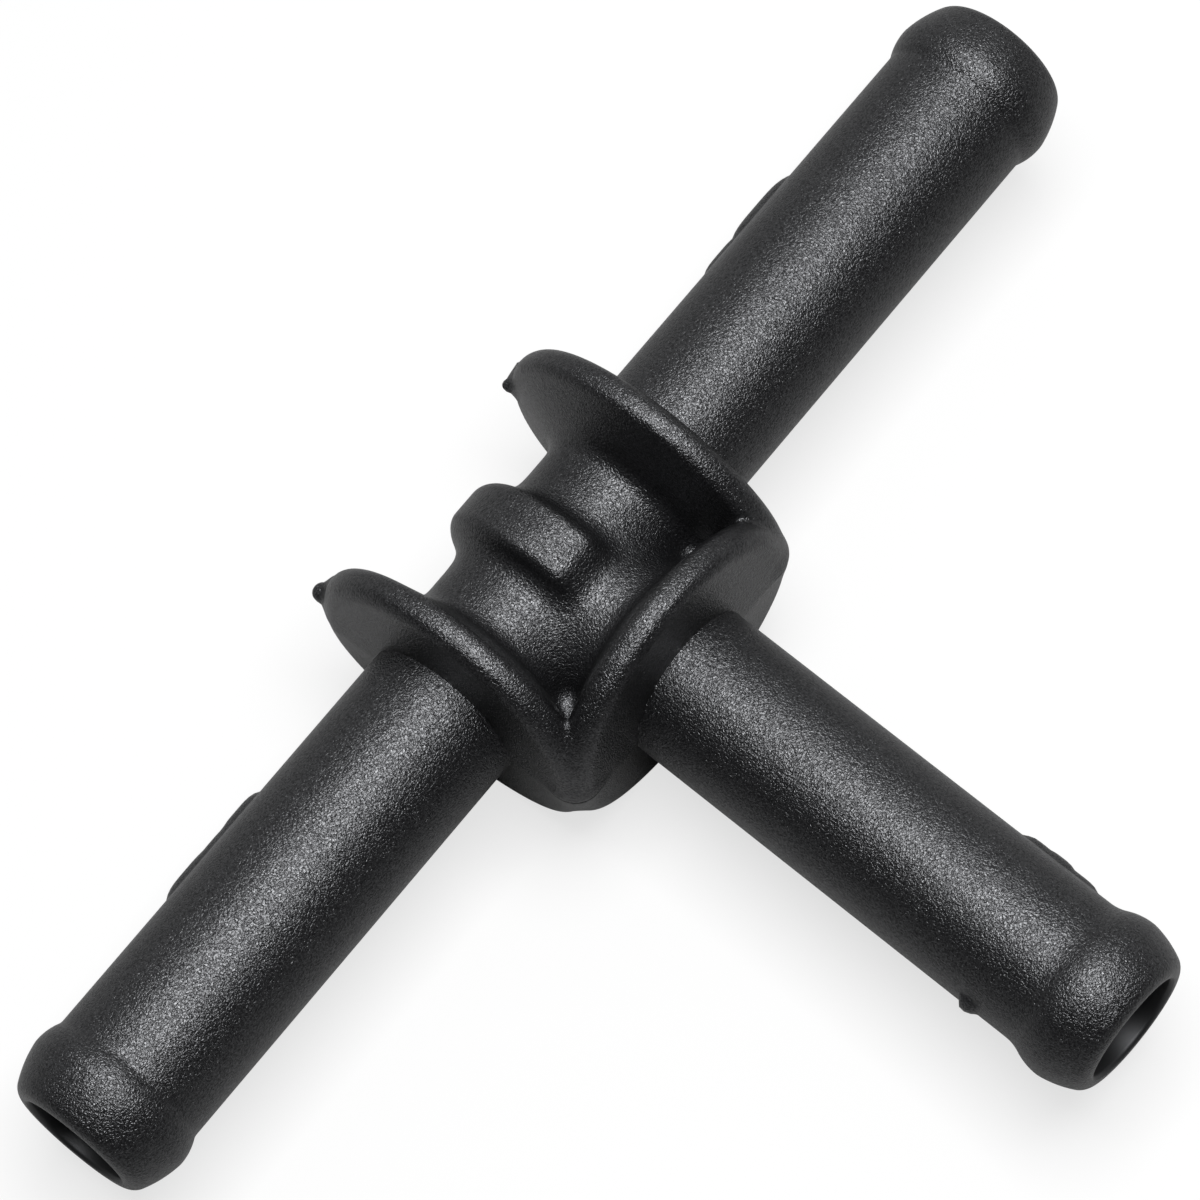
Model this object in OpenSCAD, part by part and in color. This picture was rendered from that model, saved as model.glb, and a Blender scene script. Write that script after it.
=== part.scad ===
// Hose tee connector: three hose spigots with a bead at each open end, meeting in a hub
// that is boxed in by three round hose-stop collars. One moulded piece.
// Millimetres, +Z up. The origin is where the three bore axes cross. The run lies along X,
// the branch points to -Y, and the mould parts on the plane Z = 0.

/* [Part] */
// Which node to build

/* [Spigots] */
// Outside diameter of the two run spigots, the same as the hose's inside size
spigot_od = 12; // [11.5:0.1:14]
// How much the branch spigot is under the run's diameter
branch_under = 0.4; // [0:0.05:0.6]
// Distance from the crossing of the axes to each open end
reach = 52; // [40:0.5:70]
// Diameter of the bore that goes straight through the run
bore_d = 8.1; // [6:0.1:9]
// How much wider the branch's bore is
branch_bore_extra = 0.2; // [0.1:0.05:0.6]
// How far the branch spigot leans towards the left-hand run spigot, in degrees
branch_lean = 2; // [0:0.1:3]
// Distance from the crossing at which the branch starts to lean
lean_from = 8.3; // [5:0.1:9]

/* [Beads] */
// How far the beads rise above the run spigots
bead_rise = 0.5; // [0.3:0.05:0.9]
// Distance from the open end back to the near side of the crest
crest_back = 3.3; // [3:0.1:5]
// Length of the straight land on the crest
crest_land = 0.8; // [0.4:0.1:2]
// Radius of the hollow where a bead rises out of its spigot
bead_hollow_r = 2.8; // [1:0.1:4]
// Radius of the back of a bead, next to the hollow
bead_back_r = 2.6; // [2:0.1:4]
// Share of the wall at the open end that the round corner of the nose takes
nose_corner_share = 0.8; // [0.6:0.05:0.9]
// Radius of the round lip where a bore opens
lip_r = 0.4; // [0.2:0.05:0.7]

/* [Hub] */
// How far the hub between the collars stands above the run spigots
hub_rise = 0.15; // [0.1:0.05:0.6]
// Radius of the fillet between the hub and each collar
hub_fillet_r = 1; // [0.4:0.1:1.5]

/* [Collars] */
// Diameter of each hose-stop collar
collar_od = 23.9; // [20:0.1:28]
// Distance from the crossing to the hub side of each collar's rim
collar_inner = 9.3; // [8.5:0.1:12]
// Thickness of each collar's rim where the mould parts
collar_t = 3.1; // [2.6:0.05:4]
// Slope of the face on the hub side, in degrees, so that each collar thickens towards the hub
collar_slope = 20; // [5:1:25]
// Draft of the outer faces, in degrees from the parting plane
collar_draft = 4; // [1:0.5:5]
// Radius of the rim on the hub side
rim_inner_r = 1; // [0.6:0.1:1.2]
// Radius of the rim on the hose side
rim_outer_r = 1.4; // [0.6:0.1:1.6]

/* [Pad] */
// How far the pad that wraps the back of the hub stands above it
pad_rise = 2.15; // [1.5:0.05:3]
// Width of the pad along the run
pad_w = 4.3; // [3:0.1:6]
// Radius of the edges round the top of the pad
pad_edge_r = 0.8; // [0.4:0.1:1]
// Radius of the fillet along each side of the pad
pad_fillet_r = 1.3; // [0.4:0.1:1.5]
// How far the two ends of the pad reach past the run's axis, towards the branch
pad_reach = 3.8; // [2:0.1:4.5]
// Radius of the corners at the ends of the pad, seen from above
pad_corner_r = 2; // [1:0.1:2.8]

/* [Pocket webs] */
// Half the thickness of the web in each pocket between two collars
web_h = 2.3; // [1:0.1:3]

/* [Gate stubs] */
// Radius at the foot of the stub left on the rim of each run collar
stub_r = 0.85; // [0.6:0.05:1]
// How far the round end of the left stub has its centre out of the rim
stub_out = 0.5; // [0.2:0.1:1]

/* [Flash] */
// Height of the tallest flash on the spigots, where the mould parts
flash_h = 0.68; // [0.2:0.02:0.8]
// Radius of the flash, seen from the end of the spigot
flash_edge_r = 1.2; // [0.8:0.1:1.5]
// Height of the small nib on the left side of the branch spigot
nib_h = 0.6; // [0.2:0.05:0.7]

/* [Hidden] */
$fn = 96;
plastic = [0.075, 0.075, 0.08];
// Overlap that keeps joined shapes from only touching
lap = 0.02;
// Reach of the cutting shapes past the faces that they cut
past = 1;
// How far the pad's fillets sink into the hub
fillet_sink = 0.03;
// The webs start inside the hub, this far from both axes
web_from = 4.6;

// Radii behind the diameters above
run_r = spigot_od / 2;
branch_r = run_r - branch_under / 2;
bead_r = run_r + bead_rise;
bore_r = bore_d / 2;
branch_bore_r = bore_r + branch_bore_extra / 2;
hub_r = run_r + hub_rise;
collar_r = collar_od / 2;
pad_r = hub_r + pad_rise;

// Distances along a spigot
crest_end = reach - crest_back;
crest_start = crest_end - crest_land;
collar_outer = collar_inner + collar_t;

// Hub side of a collar. Its cone touches the rim's round edge at cone_out, cone_along, and
// the fillet's circle lies against both the cone and the hub.
cone_out = collar_r - rim_inner_r * (1 - sin(collar_slope));
cone_along = collar_inner + rim_inner_r * (1 - cos(collar_slope));
foot_out = hub_r + hub_fillet_r * (1 - sin(collar_slope));
foot_along = cone_along - (cone_out - foot_out) * tan(collar_slope);
fillet_along = foot_along - hub_fillet_r * cos(collar_slope);

// Gate stubs, each [distance from the hub side of the rim to its round end, share of stub_out,
// length, radius of the end, lean to the left in degrees]
left_stub = [1.4, 1, 1.4, 0.62, 18];
right_stub = [0.3, 0.25, 1.2, 0.38, 33];

// Flash on the back of a run spigot, each [distance from the crossing, half length, share of
// flash_h]. It breaks off at both ends, where it still has some of its height.
right_flash = [[31.5, 3.1, 1], [26.9, 2, 0.66]];
left_flash = [[26.9, 2.1, 0.97], [29.9, 2, 0.87], [32.8, 2.4, 0.95]];
// On the right side of the branch spigot
branch_flash = [[39, 1.3, 0.83], [40.7, 1.2, 0.92], [42.4, 1.4, 0.68]];
flash_end = 0.55;
// Distance of the nib from the crossing, and the radius of its round top
nib_at = 42.2;
nib_r = 0.8;

// Half profile of a spigot of radius r with a bore of radius bore: x is the radius and y the
// distance along its axis. The nose's long curve starts square to the crest, and its radius
// follows from the corner's, whose circle touches both that curve and the open end.
module spigot_profile(r, bore) {
    corner_out = bore + lip_r;
    wall = bead_r - corner_out;
    corner_r = nose_corner_share * wall;
    corner_along = reach - corner_r;
    nose_dx = corner_along - crest_end;
    nose_r = (nose_dx * nose_dx + wall * wall - corner_r * corner_r) / (2 * (wall - corner_r));
    nose_join = crest_end + nose_dx * nose_r / (nose_r - corner_r);
    rise = bead_r - r;
    span = bead_hollow_r + bead_back_r;
    rise_len = sqrt(span * span - (span - rise) * (span - rise));
    hollow_at = crest_start - rise_len;
    share = bead_hollow_r / span;
    meet_at = hollow_at + rise_len * share;
    meet_r = r + bead_hollow_r - (span - rise) * share;

    square([r, hollow_at]);
    // the core runs on to the end of the nose, under its corner
    square([corner_out, reach]);
    // hollow at the foot of the bead
    difference() {
        polygon([[0, hollow_at], [r, hollow_at], [meet_r, meet_at], [0, meet_at]]);
        translate([r + bead_hollow_r, hollow_at]) circle(bead_hollow_r);
    }
    // back of the bead
    intersection() {
        translate([bead_r - bead_back_r, crest_start]) circle(bead_back_r);
        translate([0, meet_at]) square([bead_r + past, crest_start - meet_at]);
    }
    polygon([[0, meet_at], [meet_r, meet_at], [bead_r, crest_start], [0, crest_start]]);
    // land on the crest
    translate([0, crest_start]) square([bead_r, crest_land]);
    // long curve of the nose, then the corner at its end
    intersection() {
        translate([bead_r - nose_r, crest_end]) circle(nose_r);
        translate([0, crest_end]) square([bead_r + past, nose_join - crest_end]);
    }
    translate([corner_out, corner_along]) circle(corner_r);
}

// Half profile of the cutter for a bore of radius r. Its mouth has a round lip, which starts
// where the nose's corner ends.
module bore_profile(r) {
    corner_out = r + lip_r;
    square([r, reach + past]);
    difference() {
        translate([0, reach - lip_r]) square([corner_out, lip_r + past]);
        translate([corner_out, reach - lip_r]) circle(lip_r);
    }
}

// The run turns in one piece: both spigots with the hub between them.
module run() {
    rotate([0, 90, 0]) rotate_extrude() {
        spigot_profile(run_r, bore_r);
        mirror([0, 1]) spigot_profile(run_r, bore_r);
        translate([0, -collar_inner - lap]) square([hub_r, 2 * (collar_inner + lap)]);
    }
}

// The turned bore of the run. Its seam lies on the branch's side, where the branch opens it.
module run_bore() {
    rotate([0, 90, 0]) rotate([0, 0, -90]) rotate_extrude() {
        bore_profile(bore_r);
        mirror([0, 1]) bore_profile(bore_r);
    }
}

// Half profile of a collar: a disc with two rounded rim edges, the cone on the hub side, and
// the fillet from that cone down to the hub.
module collar_profile() {
    rim_from = collar_inner + rim_inner_r;
    polygon([[0, foot_along], [foot_out, foot_along], [cone_out, cone_along],
             [collar_r - rim_inner_r, rim_from], [0, rim_from]]);
    translate([0, rim_from - lap])
        square([collar_r - rim_outer_r, collar_outer - rim_from + lap]);
    translate([0, rim_from]) square([collar_r, collar_outer - rim_outer_r - rim_from]);
    translate([collar_r - rim_inner_r, rim_from]) circle(rim_inner_r);
    translate([collar_r - rim_outer_r, collar_outer - rim_outer_r]) circle(rim_outer_r);
    difference() {
        polygon([[0, fillet_along], [hub_r + hub_fillet_r, fillet_along],
                 [foot_out, foot_along], [foot_out, foot_along + lap], [0, foot_along + lap]]);
        translate([hub_r + hub_fillet_r, fillet_along]) circle(hub_fillet_r);
    }
}

// A collar round the Z axis, thinned by the draft away from the plane where the mould parts.
module collar() {
    far = collar_r + past;
    thin = far * tan(collar_draft);
    intersection() {
        rotate_extrude() collar_profile();
        rotate([90, 0, 0]) linear_extrude(height = 2 * far, center = true)
            polygon([[-far, 0], [far, 0], [far, collar_outer - thin],
                     [0, collar_outer], [-far, collar_outer - thin]]);
    }
}

// These turn a shape that stands on the Z axis so that it points along an arm. The shape's
// own X axis stays vertical, which keeps the drafts on the parting plane.
module to_right() {
    rotate([0, 90, 0]) children();
}

module to_left() {
    rotate([0, -90, 0]) children();
}

module to_branch() {
    rotate([90, 0, 0]) rotate([0, 0, 90]) children();
}

module lean() {
    translate([0, -lean_from, 0]) rotate([0, 0, -branch_lean]) translate([0, lean_from, 0])
        children();
}

// Half profile of the pad: x is the radius and y runs along the hub. The fillet along each
// side sinks a little into the hub, so the two surfaces cross instead of only touching.
module pad_profile() {
    half = pad_w / 2;
    fillet_out = hub_r + pad_fillet_r - fillet_sink;
    translate([0, -half]) square([pad_r - pad_edge_r, pad_w]);
    translate([0, -half + pad_edge_r]) square([pad_r, pad_w - 2 * pad_edge_r]);
    for (side = [0, 1]) mirror([0, side]) {
        translate([pad_r - pad_edge_r, half - pad_edge_r]) circle(pad_edge_r);
        difference() {
            translate([0, half - lap]) square([fillet_out, pad_fillet_r + lap]);
            translate([fillet_out, half + pad_fillet_r]) circle(pad_fillet_r);
        }
    }
}

// The pad seen along the run, as far as its front shapes it: flat, with two rounded edges. The
// edges stand out a little too far, so they cross the pad's round top instead of touching it.
module pad_front() {
    edge_dist = pad_r - pad_edge_r + fillet_sink;
    edge_y = pad_edge_r - pad_reach;
    edge_z = sqrt(edge_dist * edge_dist - edge_y * edge_y);
    meet_y = edge_y * pad_r / edge_dist;
    translate([meet_y, -pad_r - past]) square([pad_r + past - meet_y, 2 * (pad_r + past)]);
    translate([-pad_reach, -edge_z]) square([meet_y + pad_reach + lap, 2 * edge_z]);
    for (side = [-1, 1]) translate([edge_y, side * edge_z]) circle(pad_edge_r);
}

// The pad is a band round the hub, kept only behind the run's axis and a short way past it.
module pad() {
    half = pad_w / 2 + pad_fillet_r;
    corner_x = half - pad_corner_r;
    corner_y = pad_corner_r - pad_reach;
    intersection() {
        rotate([0, 90, 0]) rotate_extrude() pad_profile();
        rotate([90, 0, 90]) linear_extrude(height = 2 * (half + past), center = true) pad_front();
        linear_extrude(height = 2 * pad_r + past, center = true) {
            translate([-half - past, corner_y + past])
                square([2 * (half + past), pad_r]);
            translate([-half, corner_y]) square([2 * half, 2 * past]);
            translate([-corner_x, -pad_reach]) square([2 * corner_x, pad_r]);
            for (side = [-1, 1])
                translate([side * corner_x, corner_y]) circle(pad_corner_r);
        }
    }
}

// A web closes the pocket between two collars, alike above and below the parting plane.
module pocket_web(side) {
    web = collar_inner + lap - web_from;
    translate([side * (web_from + web / 2), -web_from - web / 2, 0])
        cube([web, web, 2 * web_h], center = true);
}

// Stub of a gate on a collar's rim, a tapered peg with a round end. The stub's numbers are
// those of the lists above, and side is -1 for the left collar and 1 for the right one.
module gate_stub(stub, side) {
    translate([side * (collar_inner + stub[0]), collar_r + stub[1] * stub_out, 0])
    rotate([0, 0, stub[4]]) rotate([90, 0, 0]) {
        sphere(stub[3]);
        cylinder(r1 = stub[3], r2 = stub_r, h = stub[2]);
    }
}

// Low flash on the +Y side of a spigot of radius r, long along X.
module swelling(r, half, h) {
    drop = h * (1 - flash_end);
    sweep_r = (half * half + drop * drop) / (2 * drop);
    intersection() {
        translate([0, r + h - sweep_r, 0]) rotate_extrude()
            translate([sweep_r - flash_edge_r, 0]) circle(flash_edge_r);
        translate([-half, r - past, -past - flash_edge_r])
            cube([2 * half, past + 2 * h, 2 * (past + flash_edge_r)]);
    }
}

module run_flash() {
    for (f = right_flash) translate([f[0], 0, 0]) swelling(run_r, f[1], f[2] * flash_h);
    for (f = left_flash) translate([-f[0], 0, 0]) swelling(run_r, f[1], f[2] * flash_h);
}

// On the branch the swellings are on its right side and the nib on its left.
module branch_flash_and_nib() {
    for (f = branch_flash)
        translate([0, -f[0], 0]) rotate([0, 0, -90]) swelling(branch_r, f[1], f[2] * flash_h);
    translate([nib_r - branch_r - nib_h, -nib_at, 0]) sphere(nib_r);
}

module tee_body() {
    color(plastic)
    difference() {
        union() {
            run();
            lean() to_branch() rotate_extrude() spigot_profile(branch_r, branch_bore_r);
            rotate([90, 0, 0]) cylinder(r = hub_r, h = collar_inner + lap);
            to_right() collar();
            to_left() collar();
            to_branch() collar();
            pad();
            for (side = [-1, 1]) pocket_web(side);
            gate_stub(left_stub, -1);
            gate_stub(right_stub, 1);
            run_flash();
            lean() branch_flash_and_nib();
        }
        run_bore();
        lean() to_branch() rotate_extrude() bore_profile(branch_bore_r);
    }
}

tee_body();
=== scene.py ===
"""Looks of a moulded black plastic hose tee, lying on a white studio floor.

The CAD node gives the place and the size. Here the same tee is made again with the soft
fillets, rounded rims, flash and spark-eroded skin that the mould leaves on the real one.
Lengths are worked out in millimetres and turned to metres when a mesh is made. The straight
run lies along X, the branch points to -Y, and the mould parts in the plane z = 0.
"""

import math

import bpy
import numpy as np
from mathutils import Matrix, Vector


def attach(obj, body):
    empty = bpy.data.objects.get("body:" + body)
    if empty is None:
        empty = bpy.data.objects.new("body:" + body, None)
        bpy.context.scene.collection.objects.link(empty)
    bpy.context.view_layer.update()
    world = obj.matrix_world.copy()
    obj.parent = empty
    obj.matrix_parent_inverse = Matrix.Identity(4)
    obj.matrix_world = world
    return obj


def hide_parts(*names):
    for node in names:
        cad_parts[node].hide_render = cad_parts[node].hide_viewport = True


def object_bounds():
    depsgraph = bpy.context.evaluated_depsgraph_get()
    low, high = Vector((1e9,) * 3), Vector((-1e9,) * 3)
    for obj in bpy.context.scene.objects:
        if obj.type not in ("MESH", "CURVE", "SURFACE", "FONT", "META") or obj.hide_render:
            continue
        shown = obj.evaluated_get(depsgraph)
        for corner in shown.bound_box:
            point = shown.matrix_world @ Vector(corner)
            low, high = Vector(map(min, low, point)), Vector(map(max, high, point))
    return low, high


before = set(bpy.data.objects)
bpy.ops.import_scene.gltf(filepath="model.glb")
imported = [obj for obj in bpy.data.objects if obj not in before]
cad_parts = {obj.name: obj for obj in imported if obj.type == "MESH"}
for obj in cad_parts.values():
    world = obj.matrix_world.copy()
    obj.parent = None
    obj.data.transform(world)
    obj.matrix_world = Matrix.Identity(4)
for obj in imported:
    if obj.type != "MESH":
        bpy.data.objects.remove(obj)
cad_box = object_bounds()


# Spigots
# Three straight hose spigots of glass-filled nylon, each with a rounded bead at its open end.
# They are moulded round steel core pins, so each is a turned shape, and the mould's parting
# line leaves low swellings of flash along its sides.

MM = 0.001
REACH = 52.0
RUN_RADIUS = 6.0
BRANCH_RADIUS = RUN_RADIUS - 0.2
RUN_BORE = 4.05
BRANCH_BORE = RUN_BORE + 0.1
BRANCH_LEAN = math.radians(2)
LEAN_FROM = 8.3
SPIGOT_ROOT = 11.0

# A bead is its crest's place along the arm, the radius of the hollow before it and the radius
# of its back. Its nose falls from the crest, from a first turn of CREST_TURN degrees on, to
# the rounded corner of the end face.
BEAD_RADIUS = RUN_RADIUS + 0.5
RUN_BEAD = (48.3, 0.9, 4.0)
BRANCH_BEAD = (48.6, 3.2, 4.5)
CREST_RADIUS = 1.6
CREST_TURN = 8.0
CORNER_RADIUS = 1.3
LIP_RADIUS = 0.4

# Each swelling of flash is (distance along, half length, height). It lies on the turned
# shape's +Y side, or on its -Y side where the height is negative. What lies LEAST_WALL or more
# out from the bore counts as the outside, which is all that the flash swells.
FLASH_RIGHT = [(31.4, 3.8, 0.70), (26.9, 2.4, 0.47)]
FLASH_LEFT = [(27.0, 2.4, -0.66), (29.8, 2.3, -0.59), (32.4, 2.9, -0.65)]
FLASH_BRANCH = [(39.0, 1.6, 0.56), (40.6, 1.5, 0.63), (42.3, 2.0, 0.46), (42.2, 0.7, -0.55)]
FLASH_SHARPNESS = 0.4
FLASH_SOFTNESS = 0.02
LEAST_WALL = 0.5

TUBE_STEP = 0.45
BORE_STEP = 1.5
SEGMENTS = 256
SAME_POINT = 1e-4


def bend(centre, radius, start, stop, count):
    """Points (along, out) on an arc; the angle runs from straight out, 0, to the open end, 90."""
    turn = np.radians(np.linspace(start, stop, count))
    return np.stack([centre[0] + radius * np.sin(turn), centre[1] + radius * np.cos(turn)], 1)


def stretch(start, stop, step):
    """Points on a straight stretch, both ends included."""
    start, stop = np.array(start, float), np.array(stop, float)
    count = max(2, int(np.ceil(np.linalg.norm(stop - start) / step)) + 1)
    return start + np.linspace(0, 1, count)[:, None] * (stop - start)


def spigot_profile(tube, bore, bead):
    """Closed half profile of a spigot, as points (along, out)."""
    crest, hollow, back = bead
    span = hollow + back
    drop = span - (BEAD_RADIUS - tube)
    hollow_at = crest - math.sqrt(span ** 2 - drop ** 2)
    meet = math.degrees(math.acos(drop / span))
    lean = math.radians(CREST_TURN)
    nose_from = np.array([crest + CREST_RADIUS * math.sin(lean),
                          BEAD_RADIUS - CREST_RADIUS * (1 - math.cos(lean))])
    corner = np.array([REACH - CORNER_RADIUS, bore + LIP_RADIUS])
    inward = np.array([math.sin(lean), math.cos(lean)])
    gap = nose_from - corner
    nose = (gap @ gap - CORNER_RADIUS ** 2) / (2 * (gap @ inward - CORNER_RADIUS))
    nose_at = nose_from - nose * inward
    nose_end = math.degrees(math.atan2(*(corner - nose_at)))
    parts = [
        stretch((SPIGOT_ROOT, tube), (hollow_at, tube), TUBE_STEP),
        bend((hollow_at, tube + hollow), hollow, 180, 180 - meet, count=8),
        bend((crest, BEAD_RADIUS - back), back, -meet, 0, count=12),
        bend((crest, BEAD_RADIUS - CREST_RADIUS), CREST_RADIUS, 0, CREST_TURN, count=4),
        bend(nose_at, nose, CREST_TURN, nose_end, count=12),
        bend(corner, CORNER_RADIUS, nose_end, 90, count=14),
        bend((REACH - LIP_RADIUS, corner[1]), LIP_RADIUS, 90, 180, count=8),
        stretch((REACH - LIP_RADIUS, bore), (SPIGOT_ROOT, bore), BORE_STEP),
    ]
    points = [parts[0][0]]
    for part in parts:
        for point in part:
            if np.hypot(*(point - points[-1])) > SAME_POINT:
                points.append(point)
    return np.array(points)


def turned(profile, flash):
    """Turns a closed profile round the X axis, and swells its outside where it has flash."""
    turn = np.arange(SEGMENTS) * 2 * np.pi / SEGMENTS
    along, out = profile[:, 0][:, None], profile[:, 1][:, None]
    y = out * np.cos(turn)
    z = out * np.sin(turn)
    outside = out > RUN_BORE + LEAST_WALL
    swell = np.zeros_like(y)
    for at, half, height in flash:
        lens = abs(height) * (1 - ((along - at) / half) ** 4) - z ** 2 * FLASH_SHARPNESS
        lens = np.where((y * np.sign(height) > 0) & outside, lens, -1.0)
        swell = np.maximum(swell, 0.5 * (lens + np.sqrt(lens ** 2 + FLASH_SOFTNESS ** 2)))
    grow = 1 + swell / np.maximum(out, 1)
    points = np.stack([np.broadcast_to(along, y.shape), y * grow, z * grow], -1)
    count = len(profile)
    ring = np.arange(count)[:, None]
    step = np.arange(SEGMENTS)[None, :]
    after_ring, after_step = (ring + 1) % count, (step + 1) % SEGMENTS
    quads = np.stack([ring * SEGMENTS + step, after_ring * SEGMENTS + step,
                      after_ring * SEGMENTS + after_step, ring * SEGMENTS + after_step], -1)
    return points.reshape(-1, 3), quads.reshape(-1, 4)[:, ::-1]


def mesh_piece(name, points, quads):
    """A smooth-shaded mesh object at the origin, from points in millimetres and quads."""
    mesh = bpy.data.meshes.new(name)
    quads = np.asarray(quads, dtype=np.int32)
    mesh.vertices.add(len(points))
    mesh.vertices.foreach_set("co", (points * MM).ravel())
    mesh.loops.add(quads.size)
    mesh.loops.foreach_set("vertex_index", quads.ravel())
    mesh.polygons.add(len(quads))
    mesh.polygons.foreach_set("loop_start", np.arange(0, quads.size, 4, dtype=np.int32))
    mesh.polygons.foreach_set("use_smooth", np.full(len(quads), True))
    mesh.update(calc_edges=True)
    mesh.validate()
    piece = bpy.data.objects.new(name, mesh)
    bpy.context.scene.collection.objects.link(piece)
    return piece


def arm(name, tube, bore, bead, flash, angle, lean=0.0):
    """A spigot that points along the given angle in the plane where the mould parts. From
    LEAN_FROM on it leans by a further angle."""
    points, quads = turned(spigot_profile(tube, bore, bead), flash)
    cos, sin = math.cos(angle + lean), math.sin(angle + lean)
    x, y = points[:, 0] - LEAN_FROM, points[:, 1].copy()
    points[:, 0] = x * cos - y * sin + LEAN_FROM * math.cos(angle)
    points[:, 1] = x * sin + y * cos + LEAN_FROM * math.sin(angle)
    return mesh_piece(name, points, quads)


def linear(code):
    """An sRGB hex colour as the linear colour that a shader takes."""
    parts = [int(code[i:i + 2], 16) / 255 for i in (1, 3, 5)]
    return [v / 12.92 if v <= 0.04045 else ((v + 0.055) / 1.055) ** 2.4 for v in parts] + [1.0]


def add(tree, kind, settings=None, **links):
    """Adds a node. Settings are its own options; links are its inputs, by name with _ for a
    space, or by number after a _, each a value or another node's output."""
    made = tree.nodes.new(kind)
    for key, value in (settings or {}).items():
        setattr(made, key, value)
    for key, value in links.items():
        name = key[1:] if key[0] == "_" else key.replace("_", " ")
        socket = made.inputs[int(name) if name.isdigit() else name]
        if isinstance(value, bpy.types.NodeSocket):
            tree.links.new(value, socket)
        else:
            socket.default_value = value
    return made


# Black glass-filled nylon. The plastic itself is nearly black, with a cool, soft sheen. Outside,
# the spark-eroded tool leaves worm-like craters with a grain of about 0.3 mm, which break the
# highlights up into fine speckles. The noise's cells are half a grain wide, and the craters are
# drawn deeper than the usual 0.02 mm of such a texture, so that they show. Their floors are
# duller than the skin between them. Inside, the polished core pins leave the bores smooth.
NYLON_INDEX = 1.53
NYLON_SHEEN = (0.95, 0.965, 1.0, 1.0)
CRATER_CELL = 0.16
CRATER_DEPTH = 0.08
CRATER_RANGE = (0.35, 0.65)
CRATER_SHINE = (0.25, 0.75)
SWELL_CELL = 0.5
SWELL_SHARE = 0.25


def black_nylon(name, roughness, depth=0.0):
    """The black plastic, with craters of the given depth, or smooth without."""
    nylon = bpy.data.materials.new(name)
    nylon.use_nodes = True
    tree = nylon.node_tree
    tree.nodes.clear()
    shader = add(tree, "ShaderNodeBsdfPrincipled", Base_Color=linear("#0a0a0b"),
                 Roughness=roughness, IOR=NYLON_INDEX, Specular_Tint=NYLON_SHEEN)
    if depth:
        place = add(tree, "ShaderNodeTexCoord").outputs["Object"]
        in_mm = add(tree, "ShaderNodeVectorMath", {"operation": "SCALE"}, _0=place,
                    Scale=1 / MM).outputs["Vector"]
        craters = add(tree, "ShaderNodeTexNoise", Vector=in_mm, Scale=1 / CRATER_CELL,
                      Detail=1.0, Roughness=0.5, Distortion=0.8).outputs[0]
        swells = add(tree, "ShaderNodeTexNoise", Vector=in_mm, Scale=1 / SWELL_CELL,
                     Detail=1.0, Roughness=0.5).outputs[0]
        height = add(tree, "ShaderNodeMath", {"operation": "MULTIPLY_ADD"},
                     _0=swells, _1=SWELL_SHARE, _2=craters).outputs[0]
        relief = add(tree, "ShaderNodeBump", Strength=1.0, Distance=depth * MM, Height=height)
        tree.links.new(relief.outputs[0], shader.inputs["Normal"])
        shine = add(tree, "ShaderNodeMapRange", Value=craters,
                    From_Min=CRATER_RANGE[0], From_Max=CRATER_RANGE[1],
                    To_Min=CRATER_SHINE[0], To_Max=CRATER_SHINE[1])
        tree.links.new(shine.outputs[0], shader.inputs["Specular IOR Level"])
    add(tree, "ShaderNodeOutputMaterial", Surface=shader.outputs[0])
    return nylon


moulded = black_nylon("black_moulded_nylon", 0.33, CRATER_DEPTH)
polished = black_nylon("black_polished_nylon", 0.5)


def across_branch(x, y):
    """How far to the side of the leaning branch's axis a point of its plane lies."""
    return x * math.cos(BRANCH_LEAN) - (y + LEAN_FROM) * math.sin(BRANCH_LEAN)


BORE_SKIN = 0.25


def inside_bores(x, y, z):
    """True for points on the wall of a bore."""
    in_run = np.hypot(y, z) < RUN_BORE + BORE_SKIN
    in_branch = (np.hypot(across_branch(x, y), z) < BRANCH_BORE + BORE_SKIN) & (y < 0)
    return in_run | in_branch


def face_middles(piece):
    """The x, y and z of the middle of each face, in millimetres."""
    middles = np.empty(3 * len(piece.data.polygons))
    piece.data.polygons.foreach_get("center", middles)
    return middles.reshape(-1, 3).T / MM


def dress(piece, materials, material_numbers):
    """Gives each face the material with its number, and ties the piece to the tee's node."""
    for material in materials:
        piece.data.materials.append(material)
    piece.data.polygons.foreach_set("material_index", material_numbers.astype(np.int32))
    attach(piece, "root")
    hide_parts("tee_body")


right_spigot = arm("right_spigot", RUN_RADIUS, RUN_BORE, RUN_BEAD, FLASH_RIGHT, 0.0)
left_spigot = arm("left_spigot", RUN_RADIUS, RUN_BORE, RUN_BEAD, FLASH_LEFT, math.pi)
branch_spigot = arm("branch_spigot", BRANCH_RADIUS, BRANCH_BORE, BRANCH_BEAD, FLASH_BRANCH,
                    -math.pi / 2, -BRANCH_LEAN)
for spigot in (right_spigot, left_spigot, branch_spigot):
    dress(spigot, [moulded, polished], inside_bores(*face_middles(spigot)))


# Hub with its collars and pad
# The middle of the tee: short hub arms, a pad wrapped round the back, a web in each pocket and
# three round collars that stop the hoses. In the mould all of it runs together with soft
# fillets, so it is made as one distance field, and its skin is meshed from that.

HUB_RADIUS = 6.15
HUB_ARM = 11.0
ARM_FILLET = 1.6

COLLAR_RADIUS = 11.95
COLLAR_INNER = 9.3
COLLAR_OUTER = 12.35
COLLAR_DRAFT = math.tan(math.radians(4))
COLLAR_SLOPE = math.radians(20)
COLLAR_FLAT = 0.17
COLLAR_FILLET = 1.1
BRANCH_COLLAR_SHIFT = 0.13

# Rounding of the collars' rims. On the hub's side it is given at the parting plane and at the
# top, and on the hose's side at the top, at a free rim's parting plane and at a corner's.
RIM_INNER = (1.2, 0.85)
RIM_OUTER = 0.9
RIM_PARTING = 2.1
CORNER_PARTING = 1.45

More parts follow.
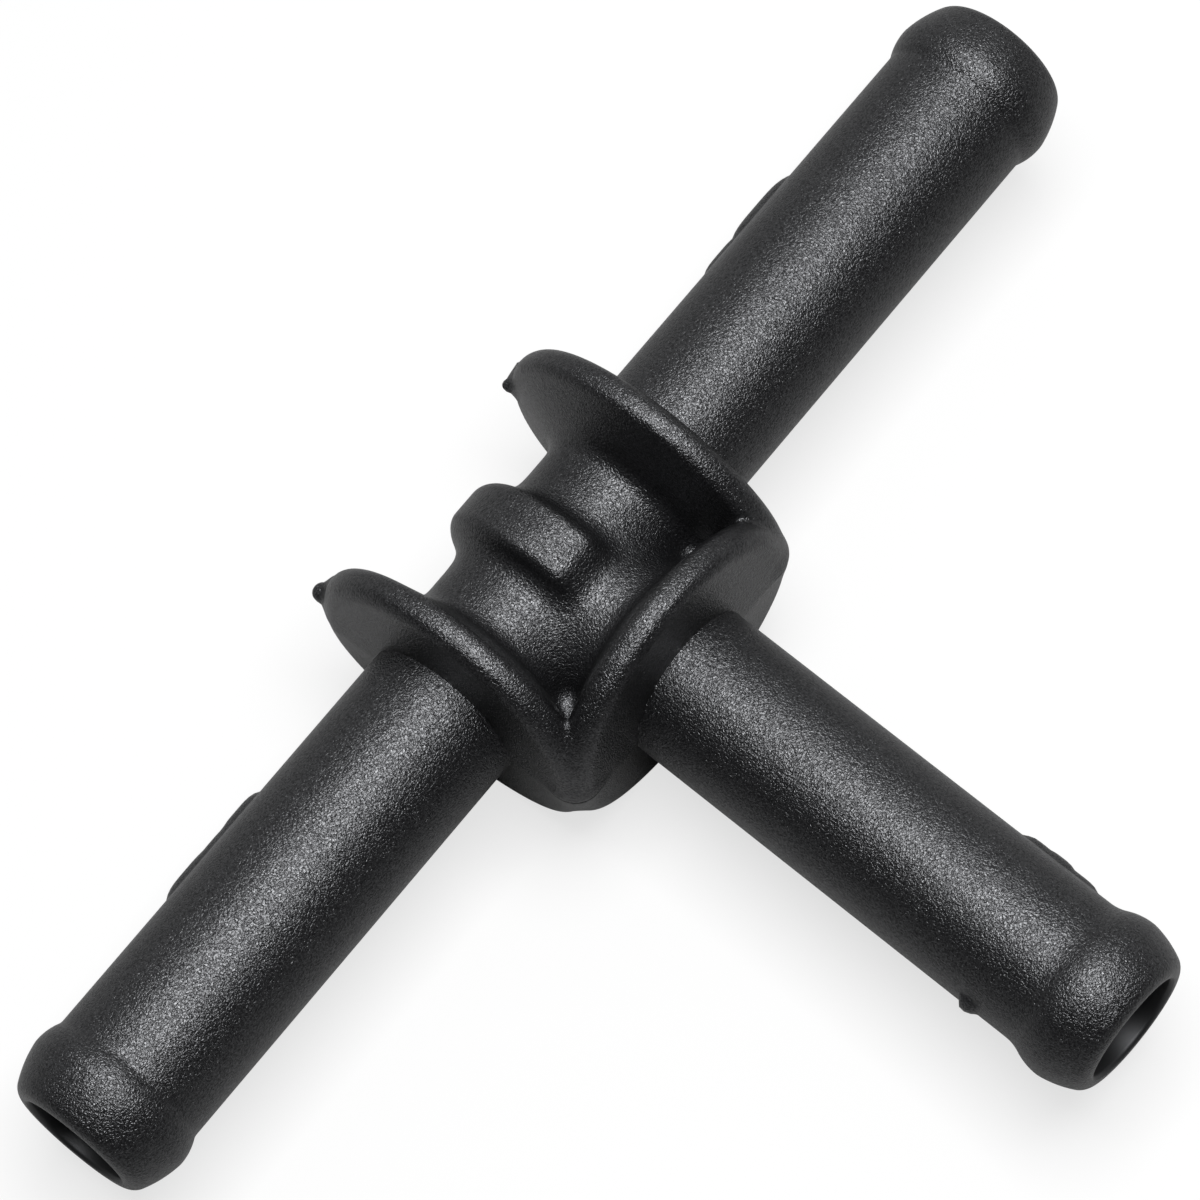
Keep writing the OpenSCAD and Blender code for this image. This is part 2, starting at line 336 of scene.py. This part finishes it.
# Fillet where two collars run into each other: a base width, and a further width that fades
# away from the parting plane over a height.
CORNER_FILLET = 0.5
CORNER_PARTING_FILLET = 0.8
CORNER_PARTING_HEIGHT = 1.5

# The pad's edge is rounded by the first radius at the parting plane and by the second at its
# top. Its front leans forward by PAD_FRONT per millimetre of drop, and reaches PAD_REACH at
# PAD_SHOULDER below the top.
PAD_RADIUS = 8.3
PAD_HALF = 2.15
PAD_EDGE = (1.4, 0.75)
PAD_REACH = 3.25
PAD_CORNER = 1.1
PAD_FRONT = 0.35
PAD_SHOULDER = 0.9
PAD_FILLET = 1.7

# The webs reach WEB_HALF above and below the parting plane at the pocket's inner corner, and
# fall outwards by WEB_FALL per millimetre.
WEB_FROM = 4.6
WEB_TO = 9.6
WEB_HALF = 2.4
WEB_FALL = 0.25
WEB_FILLET = 0.5

# Gate stubs on the collars' rims: the foot's x, y and radius, then the end's. The chip of flash
# behind the left collar is its x, y and radius.
STUBS = [(-10.35, 11.75, 1.35, -10.7, 12.33, 0.76), (10.55, 11.4, 1.4, 9.68, 12.01, 0.46)]
STUB_FILLET = 0.9
CHIP = (-7.3, 6.8, 0.7)
CHIP_FILLET = 0.3

# The hub's bores have a radius larger than the spigots' by BORE_GAP, so that the two walls
# never coincide.
BORE_GAP = 0.02

# Where the mould parts, the upper half stands a little proud, over a fine groove. Over it a strip of
# painted shade stands in for the shadow in that crack; the strip reaches from SEAM_WIDTH below the
# plane up to the last height listed here, above it.
MOULD_STEP = 0.06
SEAM_DEPTH = 0.04
SEAM_WIDTH = 0.12
PAINTED_SHADE_TOP = 0.2

FIELD_STEP = 0.24
FIELD_REACH = (14.2, 14.2, 12.6)


def join(a, b, soft):
    """The nearer of two distances, rounded over a width where they meet."""
    near = np.maximum(soft - np.abs(a - b), 0) / soft
    return np.minimum(a, b) - near * near * soft * 0.25


def rounded(q0, q1, edge):
    """Distance to a rectangle with rounded corners, from how far outside each side is."""
    q0, q1 = q0 + edge, q1 + edge
    outside = np.hypot(np.maximum(q0, 0), np.maximum(q1, 0))
    return outside + np.minimum(np.maximum(q0, q1), 0) - edge


def blended(pair, share):
    """A value that goes from the first of a pair to the second."""
    return pair[0] + (pair[1] - pair[0]) * share


def collar(along, across, z, parting_edge):
    """A disc with a flat face towards the hose, drafted from the parting plane, and a cone
    towards the hub. Where the mould parts, its rim is rounder and a little flattened."""
    out = np.hypot(across, z)
    share = np.clip(np.abs(z) / COLLAR_RADIUS, 0, 1)
    radius = COLLAR_RADIUS - COLLAR_FLAT * (1 - share) ** 2
    edge = blended((parting_edge, RIM_OUTER), share)
    disc = rounded(along - COLLAR_OUTER + COLLAR_DRAFT * np.abs(z), out - radius, edge)
    edge = blended(RIM_INNER, share)
    sin, cos = math.sin(COLLAR_SLOPE), math.cos(COLLAR_SLOPE)
    past, beyond = along - COLLAR_INNER - edge, out - radius + edge
    cone = beyond * sin - past * cos - edge
    in_corner = (past < 0) & (beyond * cos + past * sin > 0)
    cone = np.where(in_corner, np.hypot(past, beyond) - edge, cone)
    return np.maximum(disc, cone)


def gate_stub(x, y, z, foot_x, foot_y, foot, end_x, end_y, end):
    """A tapered peg on a collar's rim, from a wide foot to a small round end."""
    ax, ay = end_x - foot_x, end_y - foot_y
    at = np.clip(((x - foot_x) * ax + (y - foot_y) * ay) / (ax * ax + ay * ay), 0, 1)
    away = np.sqrt((x - foot_x - at * ax) ** 2 + (y - foot_y - at * ay) ** 2 + z ** 2)
    return away - blended((foot, end), at)


def hub_pad(x, y, z):
    """The pad round the back of the hub, with its front ends rounded in plan."""
    front = -y - PAD_REACH - PAD_FRONT * (PAD_RADIUS - PAD_SHOULDER - np.abs(z))
    ends = rounded(np.abs(x) - PAD_HALF, front, PAD_CORNER)
    edge = blended(PAD_EDGE, np.clip(np.abs(z) / PAD_RADIUS, 0, 1))
    return rounded(ends, np.hypot(y, z) - PAD_RADIUS, edge)


def pocket_webs(x, y, z):
    """The web in each of the two pockets between the branch and the run."""
    middle, half = (WEB_FROM + WEB_TO) / 2, (WEB_TO - WEB_FROM) / 2
    top = WEB_HALF - WEB_FALL * (np.abs(x) - y - 2 * WEB_FROM)
    aside = np.maximum(np.abs(np.abs(x) - middle), np.abs(y + middle)) - half
    return np.maximum(aside, np.abs(z) - top)


def hub_distance(x, y, z):
    """Distance to the hub's surface, negative inside the plastic."""
    run = np.maximum(np.hypot(y, z) - HUB_RADIUS, np.abs(x) - HUB_ARM)
    from_axis = np.where(y > 0, np.sqrt(x * x + y * y + z * z), np.hypot(x, z))
    branch = np.maximum(from_axis - HUB_RADIUS, -y - HUB_ARM)
    body = join(run, branch, ARM_FILLET)
    body = join(body, hub_pad(x, y, z), PAD_FILLET)
    body = join(body, pocket_webs(x, y, z), WEB_FILLET)
    run_collars = collar(np.abs(x), y, z, np.where(y > 0, RIM_PARTING, CORNER_PARTING))
    branch_collar = collar(-y, x + BRANCH_COLLAR_SHIFT, z, CORNER_PARTING)
    corner_fillet = CORNER_FILLET + CORNER_PARTING_FILLET * np.exp(-(z / CORNER_PARTING_HEIGHT) ** 2)
    collars = join(run_collars, branch_collar, corner_fillet)
    body = join(body, collars, COLLAR_FILLET)
    for stub in STUBS:
        body = join(body, gate_stub(x, y, z, *stub), STUB_FILLET)
    chip = np.sqrt((x - CHIP[0]) ** 2 + (y - CHIP[1]) ** 2 + z ** 2) - CHIP[2]
    body = join(body, chip, CHIP_FILLET)
    run_bore = np.hypot(y, z) - RUN_BORE - BORE_GAP
    branch_bore = np.hypot(across_branch(x, y), z) - BRANCH_BORE - BORE_GAP
    body = np.maximum(body, -run_bore)
    body = np.where(y < 0, np.maximum(body, -branch_bore), body)
    body = body - MOULD_STEP / 2 * np.tanh(z / SEAM_WIDTH)
    return body + SEAM_DEPTH * np.exp(-(z / SEAM_WIDTH) ** 2)


def levels(reach, step, fine=0.0):
    """Grid levels from -reach to reach. With a fine step, six levels lie close to zero."""
    side = np.arange(step, reach + step, step)
    near = fine * np.array([1, 2, 3]) if fine else np.array([])
    side = np.concatenate([near, side[side > 4 * fine]])
    return np.concatenate([-side[::-1], [0.0], side])


def crossings(value, axis):
    """Along one axis of a grid: each edge's first value, second value, and whether the surface
    crosses the edge."""
    first = np.take(value, range(value.shape[axis] - 1), axis)
    second = np.take(value, range(1, value.shape[axis]), axis)
    return first, second, (first < 0) != (second < 0)


def skin(field, axes, step):
    """Meshes the surface where a distance field is zero: one point in each cell that the
    surface crosses, pulled onto it, and one face across each grid edge that it crosses."""
    value = field(*np.meshgrid(*axes, indexing="ij"))
    cells = tuple(n - 1 for n in value.shape)
    total = np.zeros(cells + (3,))
    hits = np.zeros(cells)
    for axis in range(3):
        first, second, crosses = crossings(value, axis)
        part = np.where(crosses, first / np.where(crosses, first - second, 1), 0)
        others = [i for i in range(3) if i != axis]
        for corner in ((0, 0), (0, 1), (1, 0), (1, 1)):
            window = [slice(None)] * 3
            for other, shift in zip(others, corner):
                window[other] = slice(shift, shift + cells[other])
            window = tuple(window)
            hit = crosses[window]
            hits += hit
            total[..., axis] += np.where(hit, part[window], 0)
            for other, shift in zip(others, corner):
                total[..., other] += hit * shift
    used = hits > 0
    number = np.full(cells, -1)
    number[used] = np.arange(used.sum())
    place = np.argwhere(used) + total[used] / hits[used][:, None]
    points = np.stack([np.interp(place[:, i], np.arange(len(axes[i])), axes[i])
                       for i in range(3)], 1)
    faces = []
    for axis in range(3):
        first, second, crosses = crossings(value, axis)
        at = np.argwhere(crosses)
        u, v = (axis + 1) % 3, (axis + 2) % 3
        quad = []
        for du, dv in ((1, 1), (0, 1), (0, 0), (1, 0)):
            cell = at.copy()
            cell[:, u] -= du
            cell[:, v] -= dv
            quad.append(number[tuple(cell.T)])
        quad = np.stack(quad, 1)
        outward = (first < 0)[crosses]
        faces.append(np.where(outward[:, None], quad, quad[:, ::-1]))
    probe, least_slope, rounds = 0.01, 0.2, 3
    for _ in range(rounds):
        x, y, z = points.T
        slope = np.stack([field(x + probe, y, z) - field(x - probe, y, z),
                          field(x, y + probe, z) - field(x, y - probe, z),
                          field(x, y, z + probe) - field(x, y, z - probe)], 1) / (2 * probe)
        size = np.maximum((slope ** 2).sum(1), least_slope)
        points = points - np.clip(field(x, y, z) / size, -step, step)[:, None] * slope
    return points, np.concatenate(faces)


# Painted shade for the crack where the mould halves meet: a matt near-black strip stands in for the
# shadow that the crack's depth would hold, so it stays dark however the light falls.
parting_shade_material = bpy.data.materials.new("painted_parting_shade")
parting_shade_material.use_nodes = True
parting_shade_material.node_tree.nodes.clear()
shade_paint = add(parting_shade_material.node_tree, "ShaderNodeBsdfDiffuse", Color=linear("#050505"))
add(parting_shade_material.node_tree, "ShaderNodeOutputMaterial", Surface=shade_paint.outputs[0])

grid_axes = [levels(FIELD_REACH[0], FIELD_STEP), levels(FIELD_REACH[1], FIELD_STEP),
             levels(FIELD_REACH[2], FIELD_STEP, SEAM_WIDTH / 2)]
hub = mesh_piece("hub", *skin(hub_distance, grid_axes, FIELD_STEP))
x, y, z = face_middles(hub)
# Faces in a strip about the parting plane take the third material, the painted shade; the bores'
# walls take the polished one.
material_numbers = np.where((z > -SEAM_WIDTH) & (z < PAINTED_SHADE_TOP), 2, inside_bores(x, y, z))
dress(hub, [moulded, polished, parting_shade_material], material_numbers)


# Studio
# A plain white table under one large soft light, with a pale wall behind and a dim room on
# the camera's side. The tee lies on its three collars.

TABLE_HALF = 3.0
TABLE_GLOW = 0.72
LAMP_SIDE = 0.36
LAMP_POWER = 8.0
LAMP_PLACE = (0.04, -0.05, 0.60)
WALL_DIRECTION = (0.68, 0.68, 0.26)
WALL_FADE = (-0.3, 0.9)
ROOM_LIGHT = (0.02, 0.6)

table_z = cad_box[0][2]
floor_mesh = bpy.data.meshes.new("floor")
floor_mesh.from_pydata([(-TABLE_HALF, -TABLE_HALF, table_z), (TABLE_HALF, -TABLE_HALF, table_z),
                        (TABLE_HALF, TABLE_HALF, table_z), (-TABLE_HALF, TABLE_HALF, table_z)],
                       [], [(0, 1, 2, 3)])
floor = bpy.data.objects.new("floor", floor_mesh)
bpy.context.scene.collection.objects.link(floor)

# Matt table top. The camera sees it lifted almost to white, with the tee's shadow on it, while
# the plastic mirrors its plain grey paint.
white = bpy.data.materials.new("white_table")
white.use_nodes = True
tree = white.node_tree
tree.nodes.clear()
seen = add(tree, "ShaderNodeLightPath").outputs["Is Camera Ray"]
paint = add(tree, "ShaderNodeMix", {"data_type": "RGBA"}, _0=seen, _6=linear("#868686"),
            _7=linear("#666666")).outputs[2]
table = add(tree, "ShaderNodeBsdfDiffuse", Color=paint)
lift = add(tree, "ShaderNodeMath", {"operation": "MULTIPLY"}, _0=seen, _1=TABLE_GLOW).outputs[0]
glow = add(tree, "ShaderNodeEmission", Color=(1, 1, 1, 1), Strength=lift)
both = add(tree, "ShaderNodeAddShader", _0=table.outputs[0], _1=glow.outputs[0])
add(tree, "ShaderNodeOutputMaterial", Surface=both.outputs[0])
floor_mesh.materials.append(white)

softbox = bpy.data.lights.new("softbox", "AREA")
softbox.shape = "RECTANGLE"
softbox.size = LAMP_SIDE
softbox.size_y = LAMP_SIDE
softbox.energy = LAMP_POWER
lamp = bpy.data.objects.new("softbox", softbox)
lamp.location = LAMP_PLACE
bpy.context.scene.collection.objects.link(lamp)

world = bpy.data.worlds.new("room")
world.use_nodes = True
bpy.context.scene.world = world
tree = world.node_tree
tree.nodes.clear()
direction = add(tree, "ShaderNodeTexCoord").outputs["Generated"]
towards_wall = add(tree, "ShaderNodeVectorMath", {"operation": "DOT_PRODUCT"},
                   _0=direction, _1=WALL_DIRECTION).outputs["Value"]
pale = add(tree, "ShaderNodeMapRange", {"interpolation_type": "SMOOTHSTEP"}, Value=towards_wall,
           From_Min=WALL_FADE[0], From_Max=WALL_FADE[1],
           To_Min=ROOM_LIGHT[0], To_Max=ROOM_LIGHT[1]).outputs[0]
seen = add(tree, "ShaderNodeLightPath").outputs["Is Camera Ray"]
level = add(tree, "ShaderNodeMix", {"data_type": "FLOAT"}, _0=seen, _2=pale, _3=1.0).outputs[0]
room = add(tree, "ShaderNodeBackground", Color=(1, 1, 1, 1), Strength=level)
add(tree, "ShaderNodeOutputWorld", Surface=room.outputs[0])
bpy.context.scene.view_settings.view_transform = "Standard"


# Camera
# Above the table, close to the hub's lower corner, and looking down at the tee. Its place in
# millimetres, its turn in degrees and its lens were worked out so that the outlines of the
# arms and collars lie where the photograph has them.

EYE_PLACE = (-97.438, -109.178, 358.161)
EYE_TURN = (21.70138, 3.31454, -51.18887)
EYE_LENS = 164.744
EYE_SENSOR = 36.0
EYE_NEAR = 0.01

eye = bpy.data.cameras.new("camera")
eye.sensor_width = EYE_SENSOR
eye.lens = EYE_LENS
eye.clip_start = EYE_NEAR
camera = bpy.data.objects.new("camera", eye)
camera.location = tuple(v * MM for v in EYE_PLACE)
camera.rotation_euler = tuple(math.radians(v) for v in EYE_TURN)
bpy.context.scene.collection.objects.link(camera)
bpy.context.scene.camera = camera
